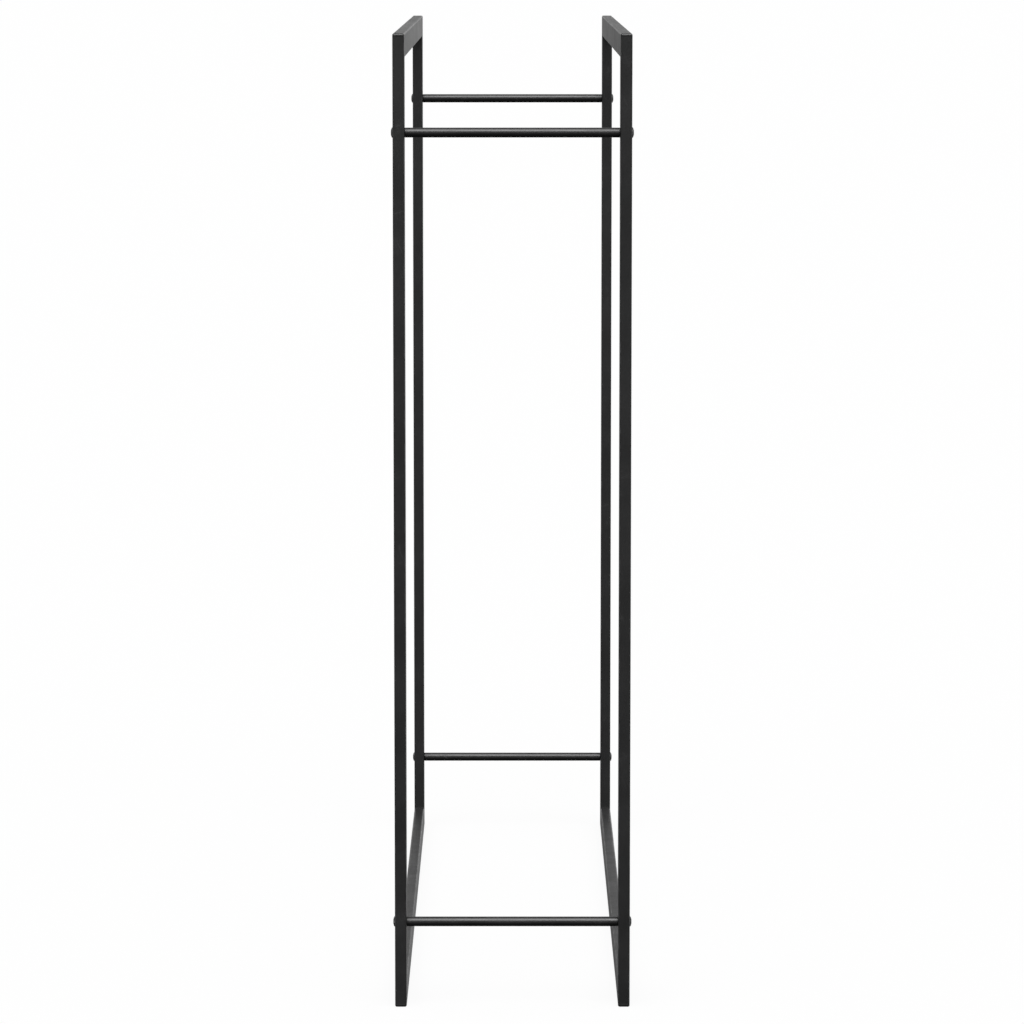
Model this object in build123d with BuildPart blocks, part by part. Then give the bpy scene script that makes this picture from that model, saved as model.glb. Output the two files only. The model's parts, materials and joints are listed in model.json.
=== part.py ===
# Free-standing firewood log rack: two closed rectangular frames of thin steel tube, stood
# side by side and held apart by four round rods. Each rod is clamped between the frames by
# a low domed socket bolt at each end, so the rack comes flat in its box and is bolted up.
#
# Row frame: X along the rack's length, Y across its depth, Z up. The origin is on the floor
# under the middle of the rack. The front frame is at -Y and the back frame at +Y.

import os

from build123d import *

# Driving dimensions, in millimetres
rack_length = 1000.0  # X, over the frames' posts
rack_height = 1000.0  # Z
rack_depth = 242.0  # Y, over the frames' outer faces, without the bolt heads

tube_width = 25.0  # seen from the rack's side, in the plane of the frame
tube_thickness = 12.0  # along Y
tube_wall = 1.0
tube_corner = 1.8  # outside radius of the tube's four long edges
frame_corner = 2.0  # rounding of the four welded and ground outer corners

rod_diameter = 10.0
top_rod_height = 900.0  # to the rod's axis
bottom_rod_height = 87.5
rod_chamfer = 0.5
rod_hole_diameter = 6.0  # M6 thread, drawn plain
rod_hole_depth = 18.0

bolt_shank_diameter = 5.9  # M6 thread, drawn plain, with room to turn
bolt_hole_diameter = 6.6  # clearance hole through the post
bolt_length = 25.0  # under the head
bolt_tip_chamfer = 0.9
bolt_head_diameter = 10.5
bolt_head_height = 2.1
bolt_head_rim = 0.8  # straight edge below the dome
bolt_rim_round = 0.25  # where the rim meets the dome
hex_socket_size = 4.0  # across flats
hex_socket_depth = 2.6

# Worked out from the driving dimensions
half_length = rack_length / 2
half_depth = rack_depth / 2
frame_offset = half_depth - tube_thickness / 2  # Y of each frame's middle plane
post_offset = half_length - tube_width / 2  # X of each post's axis
rod_length = rack_depth - 2 * tube_thickness
mitre_reach = 2 * tube_width  # the mitre wedges reach this far into the frame
overrun = 2 * frame_corner  # and shapes to be trimmed start this far outside it
bolt_shank_radius = bolt_shank_diameter / 2
bolt_head_radius = bolt_head_diameter / 2
dome_rise = bolt_head_height - bolt_head_rim
dome_radius = (bolt_head_radius**2 + dome_rise**2) / (2 * dome_rise)

frame_sides = {"front": -1, "back": 1}
post_sides = {"left": -1, "right": 1}
rod_levels = {"top": top_rod_height, "bottom": bottom_rod_height}


def save(part, label):
    """Name the piece and write it to its own STEP file."""
    part.label = label
    export_step(part, f"parts/{label}.step")


def frame_slab(frame_side):
    """The outer shape of a whole frame without its opening. The four welded corners are
    ground round, and the rounding of the tubes' long edges runs on round them."""
    middle_plane = Plane(
        origin=(0, frame_side * frame_offset, rack_height / 2),
        x_dir=(1, 0, 0),
        z_dir=(0, -1, 0),
    )
    with BuildPart() as slab:
        with BuildSketch(middle_plane):
            RectangleRounded(rack_length, rack_height, frame_corner)
        extrude(amount=tube_thickness / 2, both=True)
        fillet(slab.faces().filter_by(Axis.Y).edges(), tube_corner)
    return slab.part


def frame_member(slab, axis_plane, length, wedge, hole_centres=()):
    """One hollow tube of a frame, its ends mitred at 45 degrees. The tube runs along the
    plane's Z, with the plane's X towards the outside of the frame, where the slab gives
    its outer side. The wedge's (x, z) corners bound what the mitres leave of it, and bolts
    pass through it along Y at the (x, z) hole centres."""
    with BuildPart() as member:
        add(slab)
        with BuildSketch(Plane.XZ):
            with BuildLine():
                Polyline(*wedge, close=True)
            make_face()
        extrude(amount=rack_depth, both=True, mode=Mode.INTERSECT)
        with BuildSketch(axis_plane):
            with Locations((overrun / 2, 0)):
                RectangleRounded(tube_width + overrun, tube_thickness, tube_corner)
            RectangleRounded(
                tube_width - 2 * tube_wall,
                tube_thickness - 2 * tube_wall,
                tube_corner - tube_wall,
                mode=Mode.SUBTRACT,
            )
        extrude(amount=length / 2 + overrun, both=True, mode=Mode.INTERSECT)
        if hole_centres:
            with BuildSketch(Plane.XZ):
                with Locations(*hole_centres):
                    Circle(bolt_hole_diameter / 2)
            extrude(amount=rack_depth, both=True, mode=Mode.SUBTRACT)
    return member


def bar(slab, frame_side, outer_height, inward):
    """A frame's level bar. Its outer face is at outer_height, and inward is 1 where the
    rest of the frame is above it and -1 where it is below."""
    axis_plane = Plane(
        origin=(0, frame_side * frame_offset, outer_height + inward * tube_width / 2),
        x_dir=(0, 0, -inward),
        z_dir=(1, 0, 0),
    )
    outer_x = half_length + overrun
    inner_x = half_length - mitre_reach
    beyond_height = outer_height - inward * overrun
    inner_height = outer_height + inward * mitre_reach
    wedge = [
        (-outer_x, beyond_height),
        (outer_x, beyond_height),
        (inner_x, inner_height),
        (-inner_x, inner_height),
    ]
    return frame_member(slab, axis_plane, rack_length, wedge)


def post(slab, frame_side, post_side):
    """A frame's upright, with the clearance holes of its two bolts."""
    axis_plane = Plane(
        origin=(post_side * post_offset, frame_side * frame_offset, rack_height / 2),
        x_dir=(post_side, 0, 0),
        z_dir=(0, 0, 1),
    )
    outer_x = post_side * (half_length + overrun)
    inner_x = post_side * (half_length - mitre_reach)
    wedge = [
        (outer_x, -overrun),
        (outer_x, rack_height + overrun),
        (inner_x, rack_height - mitre_reach),
        (inner_x, mitre_reach),
    ]
    hole_centres = [(post_side * post_offset, height) for height in rod_levels.values()]
    return frame_member(slab, axis_plane, rack_height, wedge, hole_centres)


def rod(post_side, height):
    """A solid round rod, drilled and tapped at both ends."""
    with BuildPart() as cross_rod:
        with BuildSketch(Plane.XZ):
            with Locations((post_side * post_offset, height)):
                Circle(rod_diameter / 2)
        extrude(amount=rod_length / 2, both=True)
        chamfer(cross_rod.faces().filter_by(Axis.Y).edges(), rod_chamfer)
        for end in frame_sides.values():
            mouth = Plane(
                origin=(post_side * post_offset, end * rod_length / 2, height),
                z_dir=(0, end, 0),
            )
            with Locations(mouth):
                Hole(rod_hole_diameter / 2, rod_hole_depth)
    return cross_rod


def bolt(frame_side, post_side, height):
    """A low domed socket bolt, its head on the post's outer face and its shank in the rod."""
    seat = (post_side * post_offset, frame_side * half_depth, height)
    outward = (0, frame_side, 0)
    half_profile = Plane(origin=seat, x_dir=outward, z_dir=(0, 0, 1))
    with BuildPart() as socket_bolt:
        with BuildSketch(half_profile):
            with BuildLine():
                Polyline(
                    (bolt_head_height, 0),
                    (-bolt_length, 0),
                    (-bolt_length, bolt_shank_radius - bolt_tip_chamfer),
                    (-bolt_length + bolt_tip_chamfer, bolt_shank_radius),
                    (0, bolt_shank_radius),
                    (0, bolt_head_radius),
                    (bolt_head_rim, bolt_head_radius),
                )
                RadiusArc(
                    (bolt_head_rim, bolt_head_radius),
                    (bolt_head_height, 0),
                    dome_radius,
                )
            make_face()
        revolve(axis=Axis(seat, outward))
        with BuildSketch(Plane(origin=seat, z_dir=outward).offset(bolt_head_height)):
            RegularPolygon(hex_socket_size / 2, 6, major_radius=False)
        extrude(amount=-hex_socket_depth, mode=Mode.SUBTRACT)
        rim_edge = socket_bolt.edges().filter_by(GeomType.CIRCLE).filter_by(
            lambda edge: abs(abs(edge.center().Y) - half_depth - bolt_head_rim) < 1e-3
        )
        fillet(rim_edge, bolt_rim_round)
    return socket_bolt


os.makedirs("parts", exist_ok=True)

for frame_name, frame_side in frame_sides.items():
    slab = frame_slab(frame_side)
    top_bar = bar(slab, frame_side, rack_height, inward=-1)
    save(top_bar.part, f"{frame_name}_frame_top_bar")
    bottom_bar = bar(slab, frame_side, 0, inward=1)
    save(bottom_bar.part, f"{frame_name}_frame_bottom_bar")
    for post_name, post_side in post_sides.items():
        upright = post(slab, frame_side, post_side)
        save(upright.part, f"{frame_name}_frame_{post_name}_post")

for post_name, post_side in post_sides.items():
    for level_name, height in rod_levels.items():
        cross_rod = rod(post_side, height)
        save(cross_rod.part, f"{level_name}_{post_name}_rod")
        for frame_name, frame_side in frame_sides.items():
            socket_bolt = bolt(frame_side, post_side, height)
            save(socket_bolt.part, f"{frame_name}_{level_name}_{post_name}_bolt")
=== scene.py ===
"""Looks, light and camera for the firewood log rack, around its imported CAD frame."""

import json
import math

import bpy
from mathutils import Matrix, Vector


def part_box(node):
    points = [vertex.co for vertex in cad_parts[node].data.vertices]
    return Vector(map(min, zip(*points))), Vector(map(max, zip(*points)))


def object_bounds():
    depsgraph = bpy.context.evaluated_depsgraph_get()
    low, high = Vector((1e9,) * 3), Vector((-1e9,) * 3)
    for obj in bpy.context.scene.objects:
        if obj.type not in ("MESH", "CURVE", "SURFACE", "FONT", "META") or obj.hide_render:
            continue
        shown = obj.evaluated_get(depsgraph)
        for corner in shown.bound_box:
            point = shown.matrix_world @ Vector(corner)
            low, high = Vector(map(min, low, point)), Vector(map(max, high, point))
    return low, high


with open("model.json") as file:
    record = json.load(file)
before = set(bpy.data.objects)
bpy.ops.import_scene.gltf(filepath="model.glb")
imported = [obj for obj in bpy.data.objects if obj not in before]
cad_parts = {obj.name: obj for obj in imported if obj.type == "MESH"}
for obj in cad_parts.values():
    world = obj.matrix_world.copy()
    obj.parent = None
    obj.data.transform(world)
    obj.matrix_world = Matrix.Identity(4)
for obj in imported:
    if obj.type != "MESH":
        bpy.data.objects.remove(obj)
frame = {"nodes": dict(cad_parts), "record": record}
cad_low, cad_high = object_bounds()

# Lengths are in metres.
MM = 0.001
POST_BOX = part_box("front_frame_right_post")
TUBE_WIDTH = POST_BOX[1].x - POST_BOX[0].x
BOLT_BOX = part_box("front_top_right_bolt")
HEAD_DIAMETER = BOLT_BOX[1].x - BOLT_BOX[0].x
TURNING_PITCH = 0.22 * MM
SCRATCH_LENGTH = 200 * MM
SCRATCH_SPACING = 4 * MM
SCRATCH_WIDTH = 0.12 * MM
FLOOR_WIDTH = 800.0

# Sizes of the noise behind each feature: first the coat's, then the bolts'.
CLOUD_SIZE = 70 * MM
SMUDGE_SIZE = 36 * MM
SCUFF_SIZE = 18 * MM
RUBBING_SIZE = 17 * MM
RIPPLE_SIZE = 4.2 * MM
PEEL_SIZE = 1.6 * MM
GRIT_SIZE = 0.9 * MM
SAND_SIZE = 0.42 * MM
BLOTCH_SIZE = 5.5 * MM
TARNISH_SIZE = 2.4 * MM
WEAR_SIZE = 2 * MM
PLATING_SIZE = 0.67 * MM

# Heights of the bumps. BEAD_BASE is the share of a weld bead that its ripple stands on.
BEAD_HEIGHT = 0.12 * MM
BEAD_BASE = 0.6
PEEL_HEIGHT = 0.07 * MM
SAND_HEIGHT = 0.025 * MM
PLATING_HEIGHT = 0.02 * MM
RING_HEIGHT = 0.003 * MM

# Each pair is where a feature has faded out, and where it is whole: how far a weld lies off
# its mitre and in from the frame's outside, a bolt's radius, and a normal's largest part.
WELD_OFF_MITRE = (4 * MM, 1.2 * MM)
WELD_FROM_OUTSIDE = (TUBE_WIDTH + 2 * MM, TUBE_WIDTH)
RIM_RADIUS = (0.46 * HEAD_DIAMETER, 0.49 * HEAD_DIAMETER)
EDGE_NORMAL = (0.97, 0.74)

# The same for the value of a noise, most of which lies within the first pair.
MOST_OF_NOISE = (0.3, 0.7)
GRIT_NOISE = (0.66, 0.78)
SCUFF_NOISE = (0.58, 0.68)
RUBBING_NOISE = (0.48, 0.66)
BLOTCH_NOISE = (0.35, 0.7)
WEAR_NOISE = (0.5, 0.62)

# The share of its own colour that each feature lays over the finish.
GRIT_SHARE = 0.55
SCRATCH_SHARE = 0.3
RUBBING_SHARE = 0.75
WEAR_SHARE = 0.7

# Each finish's roughness, from its glossiest to its dullest, and what its features add.
FRAME_ROUGHNESS = (0.34, 0.43)
ROD_ROUGHNESS = (0.32, 0.41)
BOLT_ROUGHNESS = (0.42, 0.55)
GRIT_ROUGHNESS = (-0.03, 0.03)
SCRATCH_ROUGHNESS = 0.12
RUBBING_ROUGHNESS = -0.06

# Strength of the mirror-like part of each finish's gloss.
COAT_IOR = 1.5
COAT_SPECULAR = 0.4
BOLT_SPECULAR = 0.2

# The turns of the cells behind the two sets of scratches, about X, Y and Z in radians.
SCRATCH_TURNS = (0.35, 0.3, 0.0), (-0.7, 1.0, 0.6)

# Colours are linear.
COAT_BLACK = (0.0040, 0.0040, 0.0041, 1)
COAT_PALE = (0.0070, 0.0070, 0.0072, 1)
BARE_EDGE = (0.045, 0.045, 0.046, 1)
BOLT_BLACK = (0.006, 0.006, 0.0062, 1)
BOLT_PALE = (0.016, 0.016, 0.0165, 1)
BARE_STEEL = (0.12, 0.12, 0.118, 1)
FLOOR_PALE = (0.03, 0.03, 0.03, 1)
WHITE = (1, 1, 1, 1)

# Radiance: 1 is a white surface in the finished picture.
GROUND_LIGHT = 0.06
ROOM_LIGHT = 0.38
HORIZON_GLOW = 0.62
KEY_LIGHT = 11.2
SIDE_LIGHT = 1.6
FILL_LIGHT = 1.0
BACKDROP_WHITE = 1.0
FLOOR_GLOW = 0.92

# Degrees of elevation over which each light comes in, and over which it goes out again.
ROOM_RISE = (-38.0, 4.0)
HORIZON_BAND = (0.0, 3.0), (6.0, 12.0)
OVERHEAD_BAND = (28.0, 45.0), (62.0, 90.0)
LOW_BAND = (-45.0, -12.0), (28.0, 45.0)

# The camera stands off the rack's near end, a little above its top, and looks down at it.
CAMERA_DISTANCE = 4.755
CAMERA_RISE = 0.1033
CAMERA_SIDESTEP = -0.0004
CAMERA_TILT_DEGREES = 7.054
CAMERA_LENS_MM = 165.36
SENSOR_WIDTH_MM = 36.0

SLOT_OF = {row["node"]: row["material_slot"] for row in frame["record"]["subparts"]}


class Nodes:
    """Adds and links the nodes of one shader tree."""

    def __init__(self, tree):
        self.tree = tree
        tree.nodes.clear()

    def add(self, kind, **settings):
        node = self.tree.nodes.new(kind)
        for name, value in settings.items():
            setattr(node, name, value)
        return node

    def put(self, value, socket):
        """Links an output to the socket, or sets a number, vector or colour on it."""
        if isinstance(value, bpy.types.NodeSocket):
            self.tree.links.new(value, socket)
        else:
            socket.default_value = value

    def feed(self, node, **values):
        """Fills a node's inputs by name, with _ for a space."""
        for name, value in values.items():
            self.put(value, node.inputs[name.replace("_", " ")])
        return node

    def split(self, vector):
        node = self.feed(self.add("ShaderNodeSeparateXYZ"), Vector=vector)
        return [node.outputs[axis] for axis in "XYZ"]

    def noise(self, place, size, detail=2.0, roughness=0.5):
        """Noise with features of about this size."""
        node = self.add("ShaderNodeTexNoise")
        self.feed(node, Vector=place, Scale=1.0 / size, Detail=detail, Roughness=roughness)
        return node.outputs["Fac"]

    def spread(self, value, low, high, to_low=0.0, to_high=1.0):
        """The value's stretch from low to high, taken smoothly to a new one."""
        node = self.add("ShaderNodeMapRange", interpolation_type="SMOOTHSTEP")
        self.feed(node, Value=value, From_Min=low, From_Max=high, To_Min=to_low, To_Max=to_high)
        return node.outputs["Result"]

    def math(self, operation, *values):
        node = self.add("ShaderNodeMath", operation=operation)
        for value, socket in zip(values, node.inputs):
            self.put(value, socket)
        return node.outputs["Value"]

    def product(self, first, *others):
        for other in others:
            first = self.math("MULTIPLY", first, other)
        return first

    def band(self, value, rise, fall):
        """1 between the rise and the fall of the value, and 0 outside them."""
        return self.product(self.spread(value, *rise), self.spread(value, *reversed(fall)))

    def mix(self, share, first, second):
        """A share of the second colour over the first."""
        node = self.add("ShaderNodeMix", data_type="RGBA")
        for name, value in (("Factor", share), ("A", first), ("B", second)):
            self.put(value, next(s for s in node.inputs if s.name == name and s.enabled))
        return next(s for s in node.outputs if s.enabled)

    def bump(self, height, distance, **under):
        """A normal pushed out by this distance where the height is 1."""
        node = self.feed(self.add("ShaderNodeBump"), Height=height, Distance=distance, **under)
        return node.outputs["Normal"]

    def surface(self, **inputs):
        """Ends a material's tree with a Principled shader that has these inputs."""
        shader = self.feed(self.add("ShaderNodeBsdfPrincipled"), **inputs)
        self.feed(self.add("ShaderNodeOutputMaterial"), Surface=shader.outputs["BSDF"])


def new_material(name):
    material = bpy.data.materials.new(name)
    material.use_nodes = True
    return material, Nodes(material.node_tree)


def edge_share(nodes, normal):
    """0 on the tubes' flat faces, rising to 1 on the rounded long edges between them."""
    sizes = [nodes.math("ABSOLUTE", part) for part in nodes.split(normal)]
    largest = nodes.math("MAXIMUM", nodes.math("MAXIMUM", sizes[0], sizes[1]), sizes[2])
    return nodes.spread(largest, *EDGE_NORMAL)


def weld_share(nodes, place):
    """1 along the ground welds, where the frames' tubes meet in mitres, and 0 elsewhere."""
    x, y, z = nodes.split(place)
    from_end = nodes.math("SUBTRACT", cad_high.x, nodes.math("ABSOLUTE", x))
    from_level = nodes.math("MINIMUM", z, nodes.math("SUBTRACT", cad_high.z, z))
    off_mitre = nodes.math("ABSOLUTE", nodes.math("SUBTRACT", from_end, from_level))
    furthest = nodes.math("MAXIMUM", from_end, from_level)
    on_seam = nodes.spread(off_mitre, *WELD_OFF_MITRE)
    in_corner = nodes.spread(furthest, *WELD_FROM_OUTSIDE)
    return nodes.product(on_seam, in_corner)


def scratches(nodes, place, turn):
    """Sparse fine scratches in small groups, all running nearly the same way.

    They are where wide thin cells meet. Turned, the cells cut every face of the rack at a slant.
    """
    stretched = nodes.add("ShaderNodeMapping", vector_type="TEXTURE")
    cell_size = (SCRATCH_LENGTH, SCRATCH_LENGTH, SCRATCH_SPACING)
    nodes.feed(stretched, Vector=place, Rotation=turn, Scale=cell_size)
    cells = nodes.add("ShaderNodeTexVoronoi", feature="DISTANCE_TO_EDGE")
    nodes.feed(cells, Vector=stretched.outputs["Vector"], Scale=1.0)
    line = nodes.spread(cells.outputs["Distance"], SCRATCH_WIDTH / 2 / SCRATCH_SPACING, 0.0)
    group = nodes.spread(nodes.noise(place, SCUFF_SIZE, detail=1.0), *SCUFF_NOISE)
    return nodes.product(line, group)


def powder_coat(name, base_roughness, grain, is_frame):
    """Satin black powder coat: orange peel, fine grit, cloudy colour, scratches and rubbed edges."""
    material, nodes = new_material(name)
    coordinates = nodes.add("ShaderNodeTexCoord")
    place = coordinates.outputs["Object"]

    clouds = nodes.noise(place, CLOUD_SIZE, detail=3.0)
    grit = nodes.noise(place, GRIT_SIZE, detail=1.0)
    specks = nodes.spread(grit, *GRIT_NOISE, 0.0, GRIT_SHARE)
    scratched = nodes.math("MAXIMUM", *(scratches(nodes, place, turn) for turn in SCRATCH_TURNS))
    colour = nodes.mix(nodes.spread(clouds, *MOST_OF_NOISE), COAT_BLACK, COAT_PALE)
    colour = nodes.mix(specks, colour, COAT_PALE)
    colour = nodes.mix(nodes.product(scratched, SCRATCH_SHARE), colour, BARE_EDGE)

    smudges = nodes.noise(place, SMUDGE_SIZE, detail=3.0, roughness=0.6)
    roughness = nodes.spread(smudges, *MOST_OF_NOISE, *base_roughness)
    roughness = nodes.math("ADD", roughness, nodes.spread(grit, *MOST_OF_NOISE, *GRIT_ROUGHNESS))
    roughness = nodes.math("ADD", roughness, nodes.product(scratched, SCRATCH_ROUGHNESS))

    normal = nodes.bump(nodes.noise(place, PEEL_SIZE), PEEL_HEIGHT * grain)
    sand = nodes.noise(place, SAND_SIZE, detail=1.0)
    normal = nodes.bump(sand, SAND_HEIGHT * grain, Normal=normal)

    if is_frame:
        patches = nodes.noise(place, RUBBING_SIZE, detail=4.0, roughness=0.65)
        edges = edge_share(nodes, coordinates.outputs["Normal"])
        rubbed = nodes.product(edges, nodes.spread(patches, *RUBBING_NOISE))
        colour = nodes.mix(nodes.product(rubbed, RUBBING_SHARE), colour, BARE_EDGE)
        roughness = nodes.math("ADD", roughness, nodes.product(rubbed, RUBBING_ROUGHNESS))
        rippled = nodes.math("ADD", BEAD_BASE, nodes.noise(place, RIPPLE_SIZE))
        bead = nodes.product(weld_share(nodes, place), rippled)
        normal = nodes.bump(bead, BEAD_HEIGHT, Normal=normal)

    gloss = {"Roughness": roughness, "IOR": COAT_IOR, "Specular_IOR_Level": COAT_SPECULAR}
    nodes.surface(Base_Color=colour, Normal=normal, **gloss)
    return material


def bolt_finish(name):
    """Dull black plated steel, with turning rings on the head and a rubbed rim."""
    material, nodes = new_material(name)
    coordinates = nodes.add("ShaderNodeTexCoord")
    place = coordinates.outputs["Object"]
    # These coordinates run from 0 to 1 over the bolt's box, so its axis is halfway.
    across, _, upward = nodes.split(coordinates.outputs["Generated"])
    offsets = [nodes.math("SUBTRACT", part, 0.5) for part in (across, upward)]
    squares = [nodes.product(offset, offset) for offset in offsets]
    radius = nodes.product(nodes.math("SQRT", nodes.math("ADD", *squares)), HEAD_DIAMETER)

    blotches = nodes.noise(place, BLOTCH_SIZE, detail=3.0)
    colour = nodes.mix(nodes.spread(blotches, *BLOTCH_NOISE), BOLT_BLACK, BOLT_PALE)
    worn = nodes.spread(nodes.noise(place, WEAR_SIZE, detail=3.0), *WEAR_NOISE)
    on_rim = nodes.spread(radius, *RIM_RADIUS)
    colour = nodes.mix(nodes.product(worn, on_rim, WEAR_SHARE), colour, BARE_STEEL)

    tarnish = nodes.noise(place, TARNISH_SIZE, detail=3.0)
    roughness = nodes.spread(tarnish, *MOST_OF_NOISE, *BOLT_ROUGHNESS)
    rings = nodes.math("SINE", nodes.product(radius, math.tau / TURNING_PITCH))
    normal = nodes.bump(nodes.noise(place, PLATING_SIZE), PLATING_HEIGHT)
    normal = nodes.bump(rings, RING_HEIGHT, Normal=normal)

    gloss = {"Roughness": roughness, "Specular_IOR_Level": BOLT_SPECULAR}
    nodes.surface(Base_Color=colour, Normal=normal, **gloss)
    return material


def finish_cad_nodes():
    """Gives every CAD node the material of its slot."""
    finishes = {
        "frame_coat": powder_coat("frame_powder_coat", FRAME_ROUGHNESS, grain=1.0, is_frame=True),
        "rod_coat": powder_coat("rod_powder_coat", ROD_ROUGHNESS, grain=0.7, is_frame=False),
        "bolt_black": bolt_finish("bolt_plating"),
    }
    for name, node in frame["nodes"].items():
        node.data.materials.clear()
        node.data.materials.append(finishes[SLOT_OF[name]])


def make_world():
    """A dim room over a dark ground, with a glow round the horizon, a broad key overhead in
    front, weaker lights overhead at both sides, and a low fill behind and to the right.

    Front is the camera's side, +X, and right is +Y. Only the light differs by direction: the
    camera itself sees plain white.
    """
    world = bpy.data.worlds.new("studio")
    bpy.context.scene.world = world
    world.use_nodes = True
    nodes = Nodes(world.node_tree)
    x, y, z = nodes.split(nodes.add("ShaderNodeTexCoord").outputs["Generated"])
    elevation = nodes.math("DEGREES", nodes.math("ARCSINE", z))
    level = nodes.math("SQRT", nodes.math("SUBTRACT", 1.0, nodes.product(z, z)))
    forward = nodes.math("DIVIDE", x, level)
    sideways = nodes.math("DIVIDE", y, level)
    front = nodes.math("MAXIMUM", forward, 0.0)
    behind = nodes.math("MAXIMUM", nodes.product(forward, -1.0), 0.0)
    right = nodes.math("MAXIMUM", sideways, 0.0)

    overhead = nodes.band(elevation, *OVERHEAD_BAND)
    lights = (
        nodes.product(nodes.band(elevation, *HORIZON_BAND), HORIZON_GLOW),
        nodes.product(overhead, front, front, KEY_LIGHT),
        nodes.product(overhead, sideways, sideways, SIDE_LIGHT),
        nodes.product(nodes.band(elevation, *LOW_BAND), right, behind, FILL_LIGHT),
    )
    total = nodes.spread(elevation, *ROOM_RISE, GROUND_LIGHT, ROOM_LIGHT)
    for light in lights:
        total = nodes.math("ADD", total, light)

    lighting = nodes.feed(nodes.add("ShaderNodeBackground"), Color=WHITE, Strength=total)
    backdrop = nodes.feed(nodes.add("ShaderNodeBackground"), Color=WHITE, Strength=BACKDROP_WHITE)
    seen = nodes.add("ShaderNodeMixShader")
    by_camera = nodes.add("ShaderNodeLightPath").outputs["Is Camera Ray"]
    for value, socket in zip((by_camera, lighting.outputs[0], backdrop.outputs[0]), seen.inputs):
        nodes.put(value, socket)
    nodes.feed(nodes.add("ShaderNodeOutputWorld"), Surface=seen.outputs["Shader"])


def make_floor():
    """A wide pale floor. It is kept out of the object's reflections and bounce light."""
    half = FLOOR_WIDTH / 2
    mesh = bpy.data.meshes.new("floor")
    corners = [(-half, -half, 0), (half, -half, 0), (half, half, 0), (-half, half, 0)]
    mesh.from_pydata(corners, [], [(0, 1, 2, 3)])
    floor = bpy.data.objects.new("floor", mesh)
    bpy.context.scene.collection.objects.link(floor)
    material, nodes = new_material("floor_white")
    matt = {"Base_Color": FLOOR_PALE, "Roughness": 0.9, "Specular_IOR_Level": 0.0}
    nodes.surface(Emission_Color=WHITE, Emission_Strength=FLOOR_GLOW, **matt)
    mesh.materials.append(material)
    floor.visible_glossy = False
    floor.visible_diffuse = False


def make_camera():
    """Square on to the rack's narrow end, looking along -X and a little down."""
    camera_data = bpy.data.cameras.new("camera")
    camera_data.lens = CAMERA_LENS_MM
    camera_data.sensor_width = SENSOR_WIDTH_MM
    camera = bpy.data.objects.new("camera", camera_data)
    camera.location = (cad_high.x + CAMERA_DISTANCE, CAMERA_SIDESTEP, cad_high.z + CAMERA_RISE)
    camera.rotation_euler = (math.radians(90 - CAMERA_TILT_DEGREES), 0.0, math.radians(90))
    bpy.context.scene.collection.objects.link(camera)
    bpy.context.scene.camera = camera


def set_colour_view():
    """Shows the picture's colours as they are, with no film look."""
    view = bpy.context.scene.view_settings
    view.view_transform = "Standard"
    view.look = "None"
    view.exposure = 0.0
    view.gamma = 1.0


finish_cad_nodes()
make_world()
make_floor()
make_camera()
set_colour_view()
